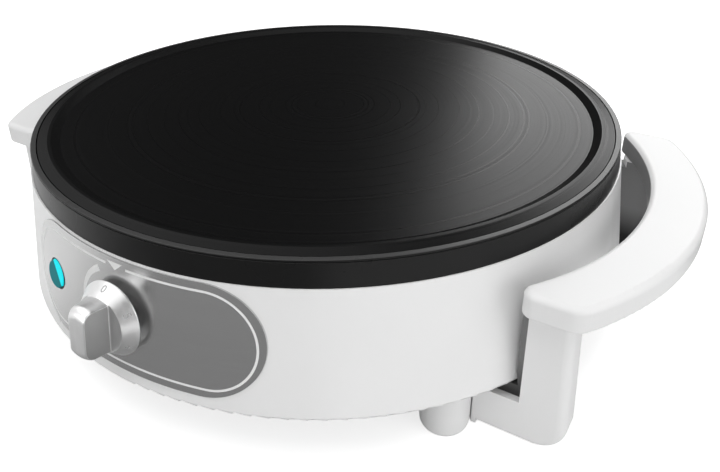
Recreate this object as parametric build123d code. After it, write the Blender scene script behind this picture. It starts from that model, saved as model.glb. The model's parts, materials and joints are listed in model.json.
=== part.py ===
"""Electric crepe maker: round hot plate in a collar, flared housing, dial, lamp and two side handles.

Units are millimetres, +Z is up. The model is built round the plate's vertical axis with z = 0 on the
table, handles along X and the dial at -Y, and is moved along Y at the end so that the origin lies under
the middle of the whole object.
"""

from build123d import *
import math
import os

# ---------------------------------------------------------------- hot plate and its collar
PLATE_RADIUS = 145.8
PLATE_THICKNESS = 7.0
PLATE_EDGE_THICKNESS = 4.0
PLATE_BELOW_LEDGE = 1.2
RIM_HEIGHT = 2.0
RIM_CREST_INSET = 5.4
RIM_CREST_ROUND = 0.8
RIM_INNER_RUN = 4.6
RIM_OUTER_DROP = 1.0
PLATE_BOSS_INSET = 36.0
PLATE_BOSS_ANGLES = (90.0, 210.0, 330.0)
PLATE_BOSS_RADIUS = 7.0
PLATE_BOSS_HEIGHT = 8.0
COLLAR_GAP = 0.5
COLLAR_WALL = 2.5
COLLAR_HEIGHT = 11.3
COLLAR_FLARE = 1.2
COLLAR_FLANGE_THICKNESS = 2.3
COLLAR_FLANGE_REACH = 8.0
COLLAR_EDGE_ROUND = 0.5
COLLAR_LIP_HEIGHT = 0.7
COLLAR_GROOVE_HEIGHT = 0.6
COLLAR_GROOVE_DEPTH = 0.5

# ---------------------------------------------------------------- housing
HOUSING_LIFT = 27.9
HOUSING_HEIGHT = 57.3
HOUSING_STEP = 0.6
HOUSING_FLARE = 8.0
HOUSING_WALL = 2.6
HOUSING_FLANGE_REACH = 11.0
HOUSING_BOTTOM_ROUND = 1.8
HOUSING_BOSS_INSET = 8.1
HOUSING_BOSS_RADIUS = 4.5
HOUSING_BOSS_ANGLES = (0.0, 45.0, 135.0, 180.0, 225.0, 315.0)

# ---------------------------------------------------------------- base cover and feet
BASE_THICKNESS = 3.0
BASE_RECESS = 1.1
BASE_GAP = 0.3
VENT_COUNT = 12
VENT_CIRCLE = 92.0
VENT_LENGTH = 26.0
VENT_WIDTH = 4.5
PILLAR_RADIUS = 7.0
PILLAR_HEIGHT = 10.0
FOOT_X = 112.6
FOOT_Y = 85.5
FOOT_RADIUS = 10.8
FOOT_ROUND = 4.0
FOOT_BORE_RADIUS = 4.2
FOOT_BORE_DEPTH = 18.0

# ---------------------------------------------------------------- control panel
PANEL_LENGTH = 131.0
PANEL_HEIGHT = 49.6
PANEL_THICKNESS = 0.6
PANEL_TOP_GAP = 0.6

# ---------------------------------------------------------------- dial knob and thermostat
KNOB_GAP = 2.6
KNOB_SKIRT_RADIUS = 16.4
KNOB_FACE_RADIUS = 12.0
KNOB_BAR_RADIUS = 11.6
KNOB_NOSE_RADIUS = 11.0
KNOB_SKIRT_DEPTH = 5.9
KNOB_BAR_DEPTH = 10.6
KNOB_BAR_BASE_WIDTH = 11.0
KNOB_BAR_FRONT_WIDTH = 8.4
KNOB_BAR_ROUND = 4.2
KNOB_EDGE_ROUND = 0.5
KNOB_FOOT_ROUND = 0.5
KNOB_CAVITY_DEPTH = 4.0
KNOB_CAVITY_WALL = 2.2
KNOB_HUB_RADIUS = 5.5
SPINDLE_RADIUS = 3.0
SPINDLE_GRIP = 13.0
SPINDLE_FLAT = 0.6
SPINDLE_HOLE_CLEARANCE = 0.8
RUNNING_CLEARANCE = 0.05
BUSH_RADIUS = 4.75
BUSH_COLLAR_RADIUS = 6.5
BUSH_COLLAR_THICKNESS = 2.0
BUSH_NOSE = 5.0
BUSH_NUT_THICKNESS = 2.5
BUSH_NUT_FLATS = 14.0
BRACKET_SETBACK = 12.0
BRACKET_SHEET = 1.5
BRACKET_WIDTH = 30.0
BRACKET_HEADROOM = 12.0
BRACKET_FOOT = 17.0
BRACKET_SCREW_SPACING = 18.0
THERMOSTAT_WIDTH = 20.0
THERMOSTAT_DEPTH = 25.0
THERMOSTAT_HEIGHT = 19.5
THERMOSTAT_CAVITY_DEPTH = 6.0
SPINDLE_TAIL = 2.5
PIN_RADIUS = 1.5
PIN_LENGTH = 15.0
PIN_GAP = 0.3
PIN_TRAVEL = 1.25
SENSOR_WIDTH = 8.0
SENSOR_SHEET = 1.0
SENSOR_SETBACK = 14.0

# ---------------------------------------------------------------- indicator lamp
LAMP_ANGLE = -16.3
LENS_RADIUS = 6.5
LENS_LENGTH = 12.2
LENS_TURN = 38.0
LENS_CREASE_OFFSET = 2.0
LENS_CREASE = 0.6
LENS_HIGH_EDGE = 1.4
LENS_LOW_EDGE = 0.2
LENS_ROUND = 0.5
LENS_DEPTH = 5.0
BEZEL_WALL = 0.5
BEZEL_DEPTH = 9.0
LAMP_FIT = 0.05
CLIP_WALL = 2.4
CLIP_THICKNESS = 2.0
BULB_RADIUS = 3.0
BULB_LENGTH = 18.0
BULB_SOCKET_DEPTH = 3.0

# ---------------------------------------------------------------- side handles
GRIP_FINGER_GAP = 7.0
GRIP_WIDTH = 24.9
GRIP_OUTER_RADIUS = 141.0
GRIP_INNER_RADIUS = 129.6
GRIP_THICKNESS = 11.2
GRIP_BELOW_LEDGE = 16.7
GRIP_HALF_SPAN = 85.5
GRIP_INNER_ROUND = 5.0
GRIP_OUTER_ROUND = 8.0
GRIP_TOP_ROUND = 2.8
GRIP_BOTTOM_ROUND = 1.2
LEG_FACE_Y = 80.0
LEG_DEPTH = 12.5
LEG_INNER_X = 142.8
LEG_TOP_INNER_X = 141.7
LEG_OUTER_X = 163.3
LEG_TOP_OUTER_X = 159.1
LEG_WALL = 3.2
LEG_CAP = 3.5
LEG_CORNER_ROUND = 13.0
LEG_EDGE_ROUND = 4.0
LEG_HOUSING_GAP = 1.2
LEG_SCREW_WALL_GAP = 0.15
CORE_RECESS = 0.6
CORE_INNER_X = 138.5
CORE_TOP_GAP = 0.6
CORE_SCREW_ROOM = 0.4
ARM_CLEARANCE = 0.5
ARM_HEIGHT = 21.0
ARM_FOOT_GAP = 0.8
ARM_END_GAP = 1.5
TONGUE_LENGTH = 32.0
TONGUE_DEPTH = 13.9
TAB_LENGTH = 24.0
TAB_HEIGHT = 8.0
PAD_MARGIN = 0.5

# ---------------------------------------------------------------- heater, reflector, wiring
HEATER_RADIUS = 98.0
HEATER_TUBE_RADIUS = 4.0
HEATER_END_SPACING = 51.3
TERMINAL_BEAD_LENGTH = 8.0
TERMINAL_PIN_RADIUS = 1.6
TERMINAL_PIN_REACH = 8.0
TERMINAL_HOLE_CLEARANCE = 2.4
REFLECTOR_DROP = 22.3
REFLECTOR_SHEET = 0.8
REFLECTOR_FLAT_RADIUS = 118.0
REFLECTOR_RIM_RADIUS = 128.0
REFLECTOR_RIM_HEIGHT = 12.0
REFLECTOR_NOTCH = 34.0
NOTCH_CLEARANCE = 12.0
ROD_RADIUS = 2.5
ROD_END_DEPTH = 6.0
ROD_NUT_FLATS = 8.0
ROD_NUT_THICKNESS = 4.0
FUSE_RADIUS = 2.2
FUSE_LENGTH = 14.0
FUSE_X = 52.0
FUSE_Y = 30.0
FUSE_CLIP_SHEET = 0.8
FUSE_CLIP_WIDTH = 5.0
FUSE_CLIP_TAB = 5.0
BLOCK_LENGTH = 44.0
BLOCK_WIDTH = 16.0
BLOCK_HEIGHT = 13.0
BLOCK_Y = 112.0
BLOCK_POLES = 3
BLOCK_PITCH = 13.0
BLOCK_SCREW_RADIUS = 2.4
BLOCK_SCREW_LENGTH = 6.0
BLOCK_SCREW_SINK = 1.0
WIRE_RADIUS = 1.2
WIRE_LEAD = 6.0
LIVE_WIRE_X = 26.0
LIVE_WIRE_Z = 38.0
LIVE_TAG_X = 5.0
GLAND_Z = 46.0
GLAND_BORE_RADIUS = 3.6
GLAND_BARREL_RADIUS = 6.0
GLAND_FLANGE_RADIUS = 9.5
GLAND_FLANGE_THICKNESS = 2.5
GLAND_NOSE = 6.0
GLAND_INNER_REACH = 10.0
GLAND_NUT_FLATS = 18.0
GLAND_NUT_THICKNESS = 4.0

# ---------------------------------------------------------------- screws
SCREW_RADIUS = 2.0
SCREW_HOLE_CLEARANCE = 0.1
SCREW_HEAD_RADIUS = 3.6
SCREW_HEAD_HEIGHT = 2.4
SCREW_BITE = 7.0
SCREW_TIP_ROOM = 1.0
SCREW_TIP_GAP = 0.5
SCREW_HEAD_ROOM = 1.0
LEG_SCREW_INSET = 6.0
LEG_SCREW_SPACING = 12.0

# ---------------------------------------------------------------- allowances of the construction
CUT_OVER = 1.0
CLOSE = 0.01

# ---------------------------------------------------------------- places worked out from the sizes
HOUSING_TOP_Z = HOUSING_LIFT + HOUSING_HEIGHT
LEDGE_Z = HOUSING_TOP_Z + COLLAR_HEIGHT
COLLAR_INNER_RADIUS = PLATE_RADIUS + COLLAR_GAP
COLLAR_TOP_RADIUS = COLLAR_INNER_RADIUS + COLLAR_WALL
COLLAR_RADIUS = COLLAR_TOP_RADIUS + COLLAR_FLARE
HOUSING_TOP_RADIUS = COLLAR_RADIUS + HOUSING_STEP
HOUSING_BOTTOM_RADIUS = HOUSING_TOP_RADIUS + HOUSING_FLARE
HOUSING_BOSS_CIRCLE = HOUSING_TOP_RADIUS - HOUSING_BOSS_INSET
PLATE_BOSS_CIRCLE = HEATER_RADIUS - PLATE_BOSS_INSET
PLATE_TOP_Z = LEDGE_Z - PLATE_BELOW_LEDGE
PLATE_BOTTOM_Z = PLATE_TOP_Z - PLATE_THICKNESS
PLATE_SEAT_Z = PLATE_TOP_Z - PLATE_EDGE_THICKNESS
BASE_BOTTOM_Z = HOUSING_LIFT + BASE_RECESS
BASE_TOP_Z = BASE_BOTTOM_Z + BASE_THICKNESS
PANEL_Z = HOUSING_TOP_Z - PANEL_TOP_GAP - PANEL_HEIGHT / 2
PILLAR_TOP_Z = BASE_TOP_Z + PILLAR_HEIGHT
REFLECTOR_Z = PLATE_BOTTOM_Z - REFLECTOR_DROP
REFLECTOR_TOP_Z = REFLECTOR_Z + REFLECTOR_SHEET
GRIP_TOP_Z = LEDGE_Z - GRIP_BELOW_LEDGE
GRIP_INNER_X = HOUSING_BOTTOM_RADIUS + GRIP_FINGER_GAP
GRIP_OUTER_X = GRIP_INNER_X + GRIP_WIDTH
LEG_TOP_Z = GRIP_TOP_Z - GRIP_THICKNESS
ARM_TOP_Z = ARM_CLEARANCE + ARM_HEIGHT


def housing_radius(z):
    """Radius of the housing's outer face at height z."""
    return HOUSING_TOP_RADIUS + HOUSING_FLARE * (HOUSING_TOP_Z - z) / HOUSING_HEIGHT


PANEL_FACE = housing_radius(PANEL_Z) + PANEL_THICKNESS
DIAL_DEPTH = PANEL_THICKNESS + HOUSING_WALL + BRACKET_SETBACK
SWITCH_FRONT = -DIAL_DEPTH - BRACKET_SHEET - BUSH_COLLAR_THICKNESS
SWITCH_BACK = SWITCH_FRONT - THERMOSTAT_DEPTH
SPINDLE_END = SWITCH_FRONT - SPINDLE_TAIL
GLAND_WALL_Y = housing_radius(GLAND_Z)
GLAND_BACK = GLAND_WALL_Y + GLAND_NOSE
TONGUE_OUTER_X = FOOT_X + FOOT_RADIUS + ARM_END_GAP
TONGUE_INNER_X = TONGUE_OUTER_X - TONGUE_LENGTH
TAB_OUTER_X = TONGUE_INNER_X + TAB_LENGTH
TONGUE_FACE_Y = FOOT_Y - FOOT_RADIUS - ARM_FOOT_GAP

nodes = {}


# ---------------------------------------------------------------- small helpers
def block(x0, x1, y0, y1, z0, z1):
    """Box between two corners."""
    size = Box(x1 - x0, y1 - y0, z1 - z0)
    return Pos((x0 + x1) / 2, (y0 + y1) / 2, (z0 + z1) / 2) * size


def rod(x, y, z0, z1, radius):
    """Upright cylinder from z0 to z1."""
    return Pos(x, y, (z0 + z1) / 2) * Cylinder(radius, z1 - z0)


def rod_y(x, z, y0, y1, radius):
    """Cylinder along Y from y0 to y1."""
    return Pos(x, (y0 + y1) / 2, z) * Rot(90, 0, 0) * Cylinder(radius, abs(y1 - y0))


def hexagon(x, y, z0, z1, flats, bore):
    """Upright hexagonal nut from z0 to z1."""
    outline = RegularPolygon(flats / 2, 6, major_radius=False)
    nut = Pos(x, y, z0) * extrude(outline, z1 - z0)
    return nut - rod(x, y, z0 - CUT_OVER, z1 + CUT_OVER, bore)


def turned(points):
    """Solid of revolution about Z from (radius, z) points."""
    outline = Polyline(*[(r, 0, z) for r, z in points], close=True)
    return revolve(make_face(outline), Axis.Z)


def edges_at(shape, z):
    """Edges whose centre lies at height z."""
    return [e for e in shape.edges() if abs(e.center().Z - z) < CLOSE]


def group(solids):
    """Several separate solids in one node."""
    return Compound([s.solid() for s in solids])


def four_corners(shape):
    """The shape and its mirror images at the other three corners, with the corner's name."""
    across = mirror(shape, about=Plane.YZ)
    return {
        "right_front": shape,
        "right_rear": mirror(shape, about=Plane.XZ),
        "left_front": across,
        "left_rear": mirror(across, about=Plane.XZ),
    }


def polar(radius, angle):
    """Point on a circle round the plate's axis, angle in degrees from +X."""
    return radius * math.cos(math.radians(angle)), radius * math.sin(math.radians(angle))


def wire(points, radius):
    """Insulated wire through the points, with round joints."""
    path = None
    for start, end in zip(points, points[1:]):
        start, end = Vector(*start), Vector(*end)
        run = Plane(origin=start, z_dir=end - start).location
        length = (end - start).length
        piece = run * Pos(0, 0, length / 2) * Cylinder(radius, length)
        path = piece if path is None else path + piece
    for point in points[1:-1]:
        path = path + Pos(*point) * Sphere(radius)
    return path


def stem(radius, low, high):
    """Cylinder on the local Z axis from low to high."""
    return Pos(0, 0, (low + high) / 2) * Cylinder(radius, high - low)


def wall_frame(angle):
    """Frame on the panel's face, its Z square to the flared wall; angle in degrees from -Y towards +X."""
    turn = math.radians(angle)
    tilt = math.atan2(HOUSING_FLARE, HOUSING_HEIGHT)
    out = Vector(math.sin(turn) * math.cos(tilt), -math.cos(turn) * math.cos(tilt), math.sin(tilt))
    across = Vector(math.cos(turn), math.sin(turn), 0)
    foot = Vector(math.sin(turn) * PANEL_FACE, -math.cos(turn) * PANEL_FACE, PANEL_Z)
    return Plane(origin=foot, x_dir=across, z_dir=out).location


def place(frame, x, y, z):
    """Point of a local frame as a coordinate triple."""
    point = (frame * Pos(x, y, z)).position
    return point.X, point.Y, point.Z


DIAL_FRAME = wall_frame(0)
LAMP_FRAME = wall_frame(LAMP_ANGLE)
ROD_PLACES = [polar(PLATE_BOSS_CIRCLE, angle) for angle in PLATE_BOSS_ANGLES]
BOSS_PLACES = [polar(HOUSING_BOSS_CIRCLE, angle) for angle in HOUSING_BOSS_ANGLES]
LEG_SCREW_PLACES = [TONGUE_INNER_X + LEG_SCREW_INSET + i * LEG_SCREW_SPACING for i in range(2)]
LEG_SCREW_Y = TONGUE_FACE_Y - TONGUE_DEPTH / 2
BRACKET_SCREW_PLACES = [side * BRACKET_SCREW_SPACING / 2 for side in (-1, 1)]


def bracket_y(z):
    """Y of the slanted bracket's outer face at height z."""
    _, y, level = place(DIAL_FRAME, 0, 0, -DIAL_DEPTH)
    return y + (z - level) * HOUSING_FLARE / HOUSING_HEIGHT


BRACKET_SCREW_Y = bracket_y(BASE_TOP_Z) + BRACKET_FOOT / 2


# ---------------------------------------------------------------- hot plate and collar
def hot_plate():
    """Cast plate with a low rim, a seat for the collar's flange and three threaded bosses."""
    crest_r = PLATE_RADIUS - RIM_CREST_INSET
    crest_z = PLATE_TOP_Z + RIM_HEIGHT
    foot_r = crest_r - RIM_INNER_RUN
    seat_r = COLLAR_INNER_RADIUS - COLLAR_FLANGE_REACH - COLLAR_GAP
    plate = turned(
        [
            (0, PLATE_BOTTOM_Z),
            (seat_r, PLATE_BOTTOM_Z),
            (seat_r, PLATE_SEAT_Z),
            (PLATE_RADIUS, PLATE_SEAT_Z),
            (PLATE_RADIUS, crest_z - RIM_OUTER_DROP),
            (crest_r + RIM_CREST_ROUND, crest_z),
            (crest_r - RIM_CREST_ROUND, crest_z),
            (foot_r, PLATE_TOP_Z),
            (0, PLATE_TOP_Z),
        ]
    )
    boss_z = PLATE_BOTTOM_Z - PLATE_BOSS_HEIGHT
    for x, y in ROD_PLACES:
        plate += rod(x, y, boss_z, PLATE_BOTTOM_Z, PLATE_BOSS_RADIUS)
    for x, y in ROD_PLACES:
        hole_top = boss_z + ROD_END_DEPTH + SCREW_HOLE_CLEARANCE
        plate -= rod(x, y, boss_z - CUT_OVER, hole_top, ROD_RADIUS + SCREW_HOLE_CLEARANCE)
    nodes["hot_plate"] = plate


def plate_collar():
    """Ring round the plate: a ledge, a flared skirt with a groove, and an inner flange under the plate."""
    flange_r = COLLAR_INNER_RADIUS - COLLAR_FLANGE_REACH
    flange_z = PLATE_SEAT_Z - COLLAR_FLANGE_THICKNESS
    lip_z = LEDGE_Z - COLLAR_LIP_HEIGHT
    groove_z = lip_z - COLLAR_GROOVE_HEIGHT
    groove_r = COLLAR_TOP_RADIUS - COLLAR_GROOVE_DEPTH
    collar = turned(
        [
            (COLLAR_INNER_RADIUS, HOUSING_TOP_Z),
            (COLLAR_RADIUS, HOUSING_TOP_Z),
            (COLLAR_TOP_RADIUS, groove_z),
            (groove_r, groove_z),
            (groove_r, lip_z),
            (COLLAR_TOP_RADIUS, lip_z),
            (COLLAR_TOP_RADIUS, LEDGE_Z),
            (COLLAR_INNER_RADIUS, LEDGE_Z),
            (COLLAR_INNER_RADIUS, PLATE_SEAT_Z),
            (flange_r, PLATE_SEAT_Z),
            (flange_r, flange_z),
            (COLLAR_INNER_RADIUS, flange_z),
        ]
    )
    outer = max(edges_at(collar, LEDGE_Z), key=lambda e: e.length)
    nodes["plate_collar"] = fillet(outer, COLLAR_EDGE_ROUND)


# ---------------------------------------------------------------- housing and base
LAMP_HOLE_RADIUS = LENS_RADIUS + LAMP_FIT + BEZEL_WALL + LAMP_FIT


def lamp_hole():
    """Cutter for the lamp's hole through panel and wall."""
    return LAMP_FRAME * Cylinder(LAMP_HOLE_RADIUS, 4 * BEZEL_DEPTH)


def spindle_hole():
    """Cutter for the spindle's hole through panel and wall."""
    return DIAL_FRAME * Cylinder(SPINDLE_RADIUS + SPINDLE_HOLE_CLEARANCE, 4 * BEZEL_DEPTH)


def housing_cone(extra, bottom=HOUSING_LIFT, top=HOUSING_TOP_Z):
    """Solid cone of the housing's outer face, grown by extra."""
    return turned(
        [
            (0, bottom),
            (housing_radius(bottom) + extra, bottom),
            (housing_radius(top) + extra, top),
            (0, top),
        ]
    )


def housing_shell():
    """Flared wall, top flange under the collar, and bosses for the base screws."""
    flange_z = HOUSING_TOP_Z - HOUSING_WALL
    flange_r = HOUSING_TOP_RADIUS - HOUSING_FLANGE_REACH
    shell = housing_cone(0)
    shell = fillet(edges_at(shell, HOUSING_LIFT), HOUSING_BOTTOM_ROUND)
    shell -= housing_cone(-HOUSING_WALL, HOUSING_LIFT - CUT_OVER, flange_z)
    shell -= rod(0, 0, flange_z - CUT_OVER, HOUSING_TOP_Z + CUT_OVER, flange_r)
    for x, y in BOSS_PLACES:
        shell += rod(x, y, BASE_TOP_Z, flange_z, HOUSING_BOSS_RADIUS)
    for x, y in BOSS_PLACES:
        hole_top = BASE_TOP_Z + SCREW_BITE + SCREW_TIP_ROOM
        shell -= rod(x, y, BASE_TOP_Z - CUT_OVER, hole_top, SCREW_RADIUS + SCREW_HOLE_CLEARANCE)
    shell -= lamp_hole()
    shell -= spindle_hole()
    barrel = GLAND_BARREL_RADIUS + SCREW_HOLE_CLEARANCE
    shell -= rod_y(0, GLAND_Z, GLAND_BACK - 3 * GLAND_NOSE, GLAND_BACK + CUT_OVER, barrel)
    nodes["housing_shell"] = shell


def base_cover():
    """Disc that closes the housing, with vents, rod pillars, leg pads and screw holes."""
    radius = housing_radius(BASE_TOP_Z) - HOUSING_WALL - BASE_GAP
    cover = rod(0, 0, BASE_BOTTOM_Z, BASE_TOP_Z, radius)
    pad_out = TAB_OUTER_X - PAD_MARGIN
    pad = block(
        TONGUE_INNER_X + PAD_MARGIN,
        pad_out,
        -TONGUE_FACE_Y + PAD_MARGIN,
        -TONGUE_FACE_Y + TONGUE_DEPTH - PAD_MARGIN,
        ARM_TOP_Z,
        BASE_BOTTOM_Z,
    )
    for piece in four_corners(pad).values():
        cover += piece
    for x, y in ROD_PLACES:
        cover += rod(x, y, BASE_TOP_Z, PILLAR_TOP_Z, PILLAR_RADIUS)
    for x, y in ROD_PLACES:
        bottom = PILLAR_TOP_Z - ROD_END_DEPTH - SCREW_HOLE_CLEARANCE
        cover -= rod(x, y, bottom, PILLAR_TOP_Z + CUT_OVER, ROD_RADIUS + SCREW_HOLE_CLEARANCE)
    slot = Pos(VENT_CIRCLE, 0, BASE_BOTTOM_Z - CUT_OVER) * extrude(
        SlotOverall(VENT_LENGTH, VENT_WIDTH), BASE_THICKNESS + 2 * CUT_OVER
    )
    for i in range(VENT_COUNT):
        cover -= Rot(0, 0, (i + 0.5) * 360 / VENT_COUNT) * slot
    hole = SCREW_RADIUS + SCREW_HOLE_CLEARANCE
    for x, y in BOSS_PLACES:
        cover -= rod(x, y, BASE_BOTTOM_Z - CUT_OVER, BASE_TOP_Z + CUT_OVER, hole)
    foot_hole = rod(FOOT_X, -FOOT_Y, BASE_BOTTOM_Z - CUT_OVER, BASE_TOP_Z + CUT_OVER, hole)
    for piece in four_corners(foot_hole).values():
        cover -= piece
    for x in LEG_SCREW_PLACES:
        leg_hole = rod(x, -LEG_SCREW_Y, ARM_TOP_Z - CUT_OVER, BASE_TOP_Z + CUT_OVER, hole)
        for piece in four_corners(leg_hole).values():
            cover -= piece
    for x in BRACKET_SCREW_PLACES:
        cover -= rod(x, BRACKET_SCREW_Y, BASE_BOTTOM_Z - CUT_OVER, BASE_TOP_Z + CUT_OVER, hole)
    nodes["base_cover"] = cover


def screw(x, y, head_z, tip_z):
    """Pan-head screw driven upward: the head hangs under head_z."""
    head = rod(x, y, head_z - SCREW_HEAD_HEIGHT, head_z, SCREW_HEAD_RADIUS)
    return head + rod(x, y, head_z, tip_z, SCREW_RADIUS)


def screw_down(x, y, head_z, tip_z):
    """Pan-head screw driven downward: the head stands on head_z."""
    head = rod(x, y, head_z, head_z + SCREW_HEAD_HEIGHT, SCREW_HEAD_RADIUS)
    return head + rod(x, y, tip_z, head_z, SCREW_RADIUS)


def feet():
    """Four pegs with a rounded tip, each on a screw from below."""
    foot = rod(FOOT_X, -FOOT_Y, 0, BASE_BOTTOM_Z, FOOT_RADIUS)
    foot = fillet(edges_at(foot, 0), FOOT_ROUND)
    foot -= rod(FOOT_X, -FOOT_Y, -CUT_OVER, FOOT_BORE_DEPTH, FOOT_BORE_RADIUS)
    foot -= rod(FOOT_X, -FOOT_Y, 0, BASE_BOTTOM_Z + CUT_OVER, SCREW_RADIUS + SCREW_HOLE_CLEARANCE)
    for corner, piece in four_corners(foot).items():
        nodes[corner + "_foot"] = piece
    fixing = screw(FOOT_X, -FOOT_Y, FOOT_BORE_DEPTH, BASE_TOP_Z - SCREW_TIP_GAP)
    nodes["foot_screws"] = group(four_corners(fixing).values())
    nodes["base_screws"] = group(
        [screw(x, y, BASE_BOTTOM_Z, BASE_TOP_Z + SCREW_BITE) for x, y in BOSS_PLACES]
    )


# ---------------------------------------------------------------- panel, lamp
def control_panel():
    """Stadium-shaped sheet wrapped round the front of the flared wall."""
    low = PANEL_Z - PANEL_HEIGHT
    high = PANEL_Z + PANEL_HEIGHT
    sheet = housing_cone(PANEL_THICKNESS, low, high) - housing_cone(0, low - CUT_OVER, high + CUT_OVER)
    radius = housing_radius(PANEL_Z)
    width = 2 * radius * math.sin(PANEL_LENGTH / 2 / radius)
    front = Plane(origin=(0, 0, PANEL_Z), x_dir=(1, 0, 0), z_dir=(0, -1, 0))
    outline = front.location * extrude(SlotOverall(width, PANEL_HEIGHT), 2 * radius)
    panel = sheet & outline
    panel -= lamp_hole()
    panel -= spindle_hole()
    nodes["control_panel"] = panel


def lamp():
    """Lens with a slanting crease, dark bezel, bulb and the clip that holds them from inside."""
    bore = LENS_RADIUS + LAMP_FIT
    wall = bore + BEZEL_WALL
    bezel = stem(wall, -BEZEL_DEPTH, 0) - stem(bore, -LENS_DEPTH, LENS_DEPTH)
    bezel -= Cylinder(BULB_RADIUS + LAMP_FIT, 4 * BEZEL_DEPTH)
    nodes["lamp_bezel"] = LAMP_FRAME * bezel

    roof = Polyline(
        (-LENS_RADIUS, 0, -LENS_DEPTH),
        (LENS_RADIUS, 0, -LENS_DEPTH),
        (LENS_RADIUS, 0, LENS_LOW_EDGE),
        (LENS_CREASE_OFFSET, 0, LENS_CREASE),
        (-LENS_RADIUS, 0, LENS_HIGH_EDGE),
        close=True,
    )
    prism = extrude(make_face(roof), LENS_LENGTH / 2, both=True)
    lens = prism & Cylinder(LENS_RADIUS, 6 * LENS_DEPTH)
    high = [e for e in lens.edges() if e.center().Z > LENS_CREASE and e.center().X < 0]
    lens = fillet(high, LENS_ROUND)
    nodes["indicator_lens"] = LAMP_FRAME * Rot(0, 0, LENS_TURN) * lens

    bulb_top = -LENS_DEPTH - BULB_SOCKET_DEPTH
    bulb = Pos(0, 0, bulb_top - BULB_LENGTH / 2) * Cylinder(BULB_RADIUS, BULB_LENGTH)
    bulb += Pos(0, 0, bulb_top) * Sphere(BULB_RADIUS)
    nodes["neon_lamp"] = LAMP_FRAME * bulb

    clip_z = -(PANEL_THICKNESS + HOUSING_WALL) - CLIP_THICKNESS / 2
    clip = Pos(0, 0, clip_z) * Cylinder(wall + CLIP_WALL, CLIP_THICKNESS)
    clip -= Cylinder(wall + LAMP_FIT, 4 * BEZEL_DEPTH)
    clip = LAMP_FRAME * clip
    nodes["lamp_clip"] = clip & housing_cone(-HOUSING_WALL)


# ---------------------------------------------------------------- dial and thermostat
def knob_bar():
    """Flat bar of the knob: a round stub with a rounded nose, cut to two slightly tapering sides."""
    reach = KNOB_SKIRT_DEPTH + KNOB_BAR_DEPTH
    nose = Cone(KNOB_BAR_RADIUS, KNOB_NOSE_RADIUS, KNOB_BAR_DEPTH)
    stub = stem(KNOB_BAR_RADIUS, 0, KNOB_SKIRT_DEPTH) + Pos(0, 0, reach - KNOB_BAR_DEPTH / 2) * nose
    stub = fillet(edges_at(stub, reach), KNOB_BAR_ROUND)
    base, front = KNOB_BAR_BASE_WIDTH / 2, KNOB_BAR_FRONT_WIDTH / 2
    low = KNOB_SKIRT_DEPTH - KNOB_CAVITY_WALL / 2
    outline = Polyline(
        (-base, 0, low),
        (base, 0, low),
        (base, 0, KNOB_SKIRT_DEPTH),
        (front, 0, reach + CUT_OVER),
        (-front, 0, reach + CUT_OVER),
        (-base, 0, KNOB_SKIRT_DEPTH),
        close=True,
    )
    wedge = extrude(make_face(outline), 2 * KNOB_BAR_RADIUS, both=True)
    return stub & wedge


def dial():
    """Knob with a conical skirt and a grip bar, and the spindle it turns."""
    skirt = Pos(0, 0, KNOB_SKIRT_DEPTH / 2) * Cone(KNOB_SKIRT_RADIUS, KNOB_FACE_RADIUS, KNOB_SKIRT_DEPTH)
    skirt = fillet(edges_at(skirt, 0), KNOB_EDGE_ROUND)
    knob = skirt + knob_bar()
    face_x = KNOB_BAR_FRONT_WIDTH / 2 - KNOB_EDGE_ROUND
    rim = [e for e in knob.edges() if e.center().Z > KNOB_SKIRT_DEPTH + KNOB_EDGE_ROUND]
    rim = [e for e in rim if abs(e.center().X) > face_x]
    knob = fillet(rim, KNOB_EDGE_ROUND)
    foot = [e for e in edges_at(knob, KNOB_SKIRT_DEPTH) if e.geom_type == GeomType.LINE]
    knob = fillet(foot, KNOB_FOOT_ROUND)
    cavity_r = KNOB_SKIRT_RADIUS - KNOB_CAVITY_WALL
    narrow = KNOB_FACE_RADIUS - KNOB_CAVITY_WALL
    knob -= Pos(0, 0, KNOB_CAVITY_DEPTH / 2) * Cone(cavity_r, narrow, KNOB_CAVITY_DEPTH)
    knob += stem(KNOB_HUB_RADIUS, 0, KNOB_SKIRT_DEPTH)
    knob -= d_rod(RUNNING_CLEARANCE, -CUT_OVER, SPINDLE_GRIP + RUNNING_CLEARANCE)
    seat = DIAL_FRAME * Pos(0, 0, KNOB_GAP)
    nodes["dial_knob"] = seat * knob
    nodes["thermostat_spindle"] = seat * d_rod(0, SPINDLE_END - KNOB_GAP, SPINDLE_GRIP)


def d_rod(extra, low, high):
    """Spindle shape from low to high, grown by extra, with its flat ahead of the knob's back face."""
    radius = SPINDLE_RADIUS + extra
    flat_x = SPINDLE_RADIUS - SPINDLE_FLAT + extra
    return stem(radius, low, high) - block(flat_x, 2 * radius, -radius, radius, 0, high + CUT_OVER)


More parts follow.
